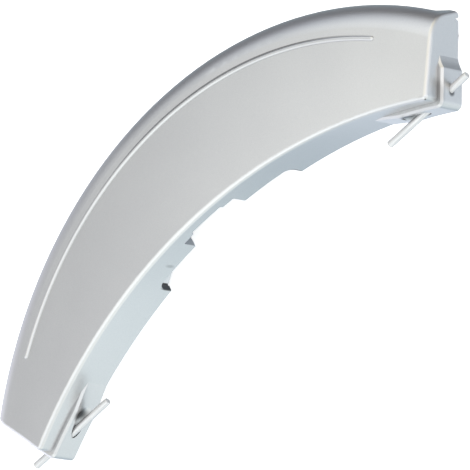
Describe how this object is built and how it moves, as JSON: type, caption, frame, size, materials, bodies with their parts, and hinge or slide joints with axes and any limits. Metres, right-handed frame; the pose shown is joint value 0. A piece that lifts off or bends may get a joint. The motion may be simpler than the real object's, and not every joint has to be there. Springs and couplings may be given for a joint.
{
  "type": "washing machine door handle",
  "caption": "Crescent door handle for a front-loading washing machine: silver shell with a finger scoop and ribbed back that swings on steel hinge pins.",
  "frame": {"origin": "midpoint of the hinge axis, between the two pins", "axes": "+X along the hinge axis, +Y towards the grip edge, +Z out of the front face; the handle lies on its back"},
  "size_m": [0.2778, 0.0944, 0.0233],
  "materials": {
    "silver_shell": "moulded plastic with silver metallic paint",
    "pin_steel": "bright drawn wire",
    "buffer_rubber": "moulded rubber"
  },
  "bodies": {
    "hinge_pins": {"hinge_pin_right": "pin_steel", "hinge_pin_left": "pin_steel"},
    "handle": {"door_handle": "silver_shell", "stop_buffer_right": "buffer_rubber", "stop_buffer_left": "buffer_rubber"}
  },
  "joints": [
    {"name": "handle_swing", "type": "hinge", "parent": "hinge_pins", "child": "handle", "pos_m": [0, 0, 0], "axis": [1, 0, 0], "range_deg": [0, 20]}
  ]
}
